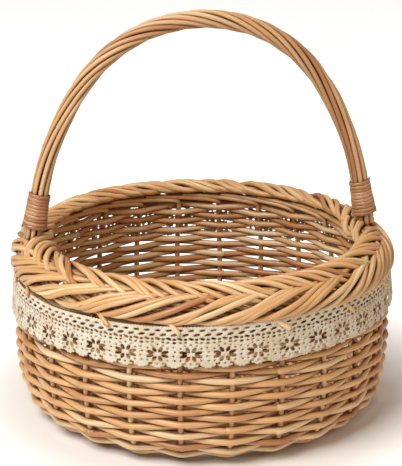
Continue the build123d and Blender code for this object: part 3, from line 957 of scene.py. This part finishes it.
def lace():
    """The lace band and its cloth's area: a fine grid less its holes, drawn to their edges."""
    rng = np.random.default_rng(90)
    across_count = LACE_ACROSS_SAMPLES
    round_count = LACE_MOTIFS * LACE_ROUND_SAMPLES
    step_u, step_v = LACE_LENGTH / round_count, LACE_WIDTH / (across_count - 1)
    u, v = np.meshgrid(np.arange(round_count) * step_u, np.arange(across_count) * step_v, indexing="ij")
    # corners close to a hole's edge are drawn onto it, in two goes
    small = 0.02 * MM
    for _ in range(2):
        depth = lace_cloth(u, v)
        slope_u = (lace_cloth(u + small, v) - lace_cloth(u - small, v)) / (2 * small)
        slope_v = (lace_cloth(u, v + small) - lace_cloth(u, v - small)) / (2 * small)
        steep = slope_u**2 + slope_v**2 + 1e-6
        near = (np.abs(depth) < 0.55 * step_v * np.sqrt(steep)) & (steep > 0.05)
        pull = np.where(near, depth / steep, 0)
        limit = 0.45 * step_u
        u = u - np.clip(pull * slope_u, -limit, limit)
        v = v - np.clip(pull * slope_v, -limit, limit)
    depth = lace_cloth(u, v)
    solid = depth > -0.08 * MM
    number = np.arange(round_count * across_count).reshape(round_count, across_count)
    ahead = np.roll(number, -1, axis=0)
    quads = np.stack([number[:, :-1], ahead[:, :-1], ahead[:, 1:], number[:, 1:]], -1).reshape(-1, 4)
    centre = lace_cloth(u.ravel()[quads].mean(1), v.ravel()[quads].mean(1))
    seam = np.abs(u.ravel()[quads[:, 0]] - u.ravel()[quads[:, 1]]) > LACE_LENGTH / 2
    centre[seam] = lace_cloth(u.ravel()[quads[seam, 0]] + step_u / 2, v.ravel()[quads[seam]].mean(1))
    keep = solid.ravel()[quads].all(1) & (centre > 0)
    quads = quads[keep]
    angle = u / LACE_LENGTH * 2 * math.pi
    share = v / LACE_WIDTH
    # the ruffle fades out where the band's two ends meet
    ruffle = slow_noise(rng, round_count, 26)
    close = 0.5 - 0.5 * np.cos(2 * math.pi * np.arange(round_count) / round_count)
    ruffle = (ruffle * np.minimum(close * 8, 1))[:, None]
    puff = np.clip(depth / (0.9 * MM), 0, 1)
    half = LACE_EDGE_HALF + LACE_PUFF_HALF * np.sqrt(puff)
    thread = THREAD_DEPTH * np.sin(2 * math.pi * u / (1.1 * MM)) * np.sin(2 * math.pi * v / (1.0 * MM))
    radius = LACE_BOTTOM_RADIUS + (LACE_TOP_RADIUS - LACE_BOTTOM_RADIUS) * share
    radius = radius + LACE_STAND_OFF + LACE_RUFFLE * ruffle * (1 - 0.5 * share)
    height = lace_low.z + share * (lace_high.z - lace_low.z) + LACE_RUFFLE * ruffle
    height = height + LACE_LIFT + LACE_TILT * np.cos(angle)
    outer = around(radius + half + thread * puff, angle, height)
    inner = around(radius - half, angle, height)
    used, place = np.unique(quads, return_inverse=True)
    quads = place.reshape(quads.shape)
    front, back = outer.reshape(-1, 3)[used], inner.reshape(-1, 3)[used]
    total = len(used)
    sides = np.concatenate([quads[:, [0, 1]], quads[:, [1, 2]], quads[:, [2, 3]], quads[:, [3, 0]]])
    key = np.sort(sides, axis=1)
    _, first, times = np.unique(key, axis=0, return_index=True, return_counts=True)
    rim = sides[first[times == 1]]
    walls = np.stack([rim[:, 1], rim[:, 0], rim[:, 0] + total, rim[:, 1] + total], -1)
    faces = np.concatenate([quads, quads[:, ::-1] + total, walls])
    points = np.concatenate([front, back])
    flat = np.stack([u.ravel()[used], v.ravel()[used], 0 * used], -1)
    attributes = {
        "lace_flat": np.concatenate([flat, flat]),
        "lace_puff": np.tile(puff.ravel()[used], 2),
    }
    piece = mesh_piece("lace", points, [faces], attributes, COTTON_LACE)
    cloth_area = len(quads) * step_u * step_v
    return piece, cloth_area


def cotton():
    """Natural ivory cotton: crocheted thread, matt, paler where it stands proud."""
    material, shader, w = new_material("cotton_lace")
    flat = read_attribute(w, "lace_flat", "Vector")
    puff = read_attribute(w, "lace_puff", "Fac")
    twist = w.noise(w.scaled(flat, (2600, 3400, 1)), 1.0, 2.0, 0.6)
    cloud = w.noise(w.scaled(flat, (60, 90, 1)), 1.0, 3.0)
    body = w.mix(w.between(cloud, 0.35, 0.7), rgb(242, 235, 218), rgb(226, 214, 188))
    body = w.mix(w.between(twist, 0.35, 0.6, 0.55, 0.0), body, rgb(166, 144, 108))
    body = w.mix(w.between(puff, 0.0, 0.6, 0.45, 0.0), body, rgb(190, 164, 126))
    net = w.node("ShaderNodeTexVoronoi")
    net.inputs["Scale"].default_value = 1.0
    net.inputs["Randomness"].default_value = 0.7
    w.join(w.scaled(flat, (480, 560, 1)), net.inputs["Vector"])
    gap = w.between(net.outputs["Distance"], 0.10, 0.34, 0.75, 0.0)
    body = w.mix(gap, body, rgb(168, 136, 100))
    w.join(body, shader.inputs["Base Color"])
    w.join(w.between(twist, 0.3, 0.7, 0.95, 0.8), shader.inputs["Roughness"])
    shader.inputs["Sheen Weight"].default_value = 0.25
    shader.inputs["Specular IOR Level"].default_value = 0.2
    bump = w.node("ShaderNodeBump")
    bump.inputs["Strength"].default_value = 0.7
    bump.inputs["Distance"].default_value = 0.4 * MM
    w.join(twist, bump.inputs["Height"])
    w.join(bump.outputs[0], shader.inputs["Normal"])
    return material


COTTON_LACE = cotton()
lace_piece, lace_area = lace()
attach(lace_piece, "root")
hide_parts("lace_band")


# ---- floor, light and camera ----------------------------------------------------------
FLOOR_REACH = 3.0
FLOOR_GLOW = 0.65
GLOW_STARTS = 130 * MM
GLOW_FULL = 240 * MM


def floor():
    """A plain pale floor that looks a little brighter to the camera away from the basket."""
    mesh = bpy.data.meshes.new("floor")
    square = [(x * FLOOR_REACH, y * FLOOR_REACH, 0) for x, y in ((-1, -1), (1, -1), (1, 1), (-1, 1))]
    mesh.from_pydata(square, [], [(0, 1, 2, 3)])
    material, shader, w = new_material("pale_floor")
    position = w.node("ShaderNodeNewGeometry").outputs["Position"]
    grain = w.noise(position, 60.0, 3.0)
    w.join(w.mix(grain, (0.93, 0.93, 0.93, 1), (0.88, 0.88, 0.88, 1)), shader.inputs["Base Color"])
    shader.inputs["Roughness"].default_value = 0.8
    shader.inputs["Emission Color"].default_value = (1.0, 1.0, 1.0, 1)
    seen = w.node("ShaderNodeLightPath").outputs["Is Camera Ray"]
    apart = w.node("ShaderNodeVectorMath", operation="LENGTH")
    w.join(w.scaled(position, (1, 1, 0)), apart.inputs[0])
    clear = w.between(apart.outputs["Value"], GLOW_STARTS, GLOW_FULL, 0.0, FLOOR_GLOW)
    w.join(w.maths("MULTIPLY", seen, clear), shader.inputs["Emission Strength"])
    mesh.materials.append(material)
    piece = bpy.data.objects.new("floor", mesh)
    bpy.context.scene.collection.objects.link(piece)
    return piece


floor()

LAMP_AIM_HEIGHT = 120 * MM


def soft_light(name, azimuth, elevation, distance, size, power, colour=(1, 1, 1)):
    """A large square lamp that faces the basket's middle."""
    lamp = bpy.data.lights.new(name, "AREA")
    lamp.size = size
    lamp.energy = power
    lamp.color = colour
    holder = bpy.data.objects.new(name, lamp)
    a, e = math.radians(azimuth), math.radians(elevation)
    toward = Vector((math.sin(a) * math.cos(e), -math.cos(a) * math.cos(e), math.sin(e)))
    holder.location = Vector((0, 0, LAMP_AIM_HEIGHT)) + toward * distance
    holder.rotation_mode = "QUATERNION"
    holder.rotation_quaternion = (-toward).to_track_quat("-Z", "Y")
    bpy.context.scene.collection.objects.link(holder)


soft_light("key", -48, 46, 1.3, 0.7, 16.5, (1.0, 0.98, 0.95))
soft_light("fill", 60, 28, 1.5, 1.0, 3.4, (1.0, 0.62, 0.32))
soft_light("top", 170, 70, 1.4, 0.9, 3.0)

# the world is white to the camera and lights the basket dimly and warmly
WORLD_LIGHT = 0.27
world = bpy.data.worlds.new("studio")
world.use_nodes = True
studio = Wiring(world.node_tree)
background = world.node_tree.nodes["Background"]
seen = studio.node("ShaderNodeLightPath").outputs["Is Camera Ray"]
studio.join(studio.between(seen, 0.0, 1.0, WORLD_LIGHT, 1.0), background.inputs["Strength"])
studio.join(studio.mix(seen, (1.0, 0.93, 0.84, 1), (1, 1, 1, 1)), background.inputs["Color"])
bpy.context.scene.world = world
bpy.context.scene.view_settings.view_transform = "Standard"

CAMERA_AZIMUTH = math.radians(8.63)
CAMERA_ELEVATION = math.radians(18.2)
CAMERA_DISTANCE = 1.1395
CAMERA_TARGET_ACROSS = -0.6 * MM
CAMERA_TARGET_HEIGHT = 125.3 * MM
CAMERA_LENS = 120.75
CAMERA_SENSOR = 36.0

lens = bpy.data.cameras.new("camera")
lens.lens = CAMERA_LENS
lens.sensor_width = CAMERA_SENSOR
camera = bpy.data.objects.new("camera", lens)
sin_a, cos_a = math.sin(CAMERA_AZIMUTH), math.cos(CAMERA_AZIMUTH)
back = Vector((-sin_a * math.cos(CAMERA_ELEVATION), -cos_a * math.cos(CAMERA_ELEVATION),
               math.sin(CAMERA_ELEVATION)))
target = Vector((cos_a * CAMERA_TARGET_ACROSS, -sin_a * CAMERA_TARGET_ACROSS, CAMERA_TARGET_HEIGHT))
camera.location = target + back * CAMERA_DISTANCE
camera.rotation_mode = "QUATERNION"
camera.rotation_quaternion = (-back).to_track_quat("-Z", "Y")
bpy.context.scene.collection.objects.link(camera)
bpy.context.scene.camera = camera
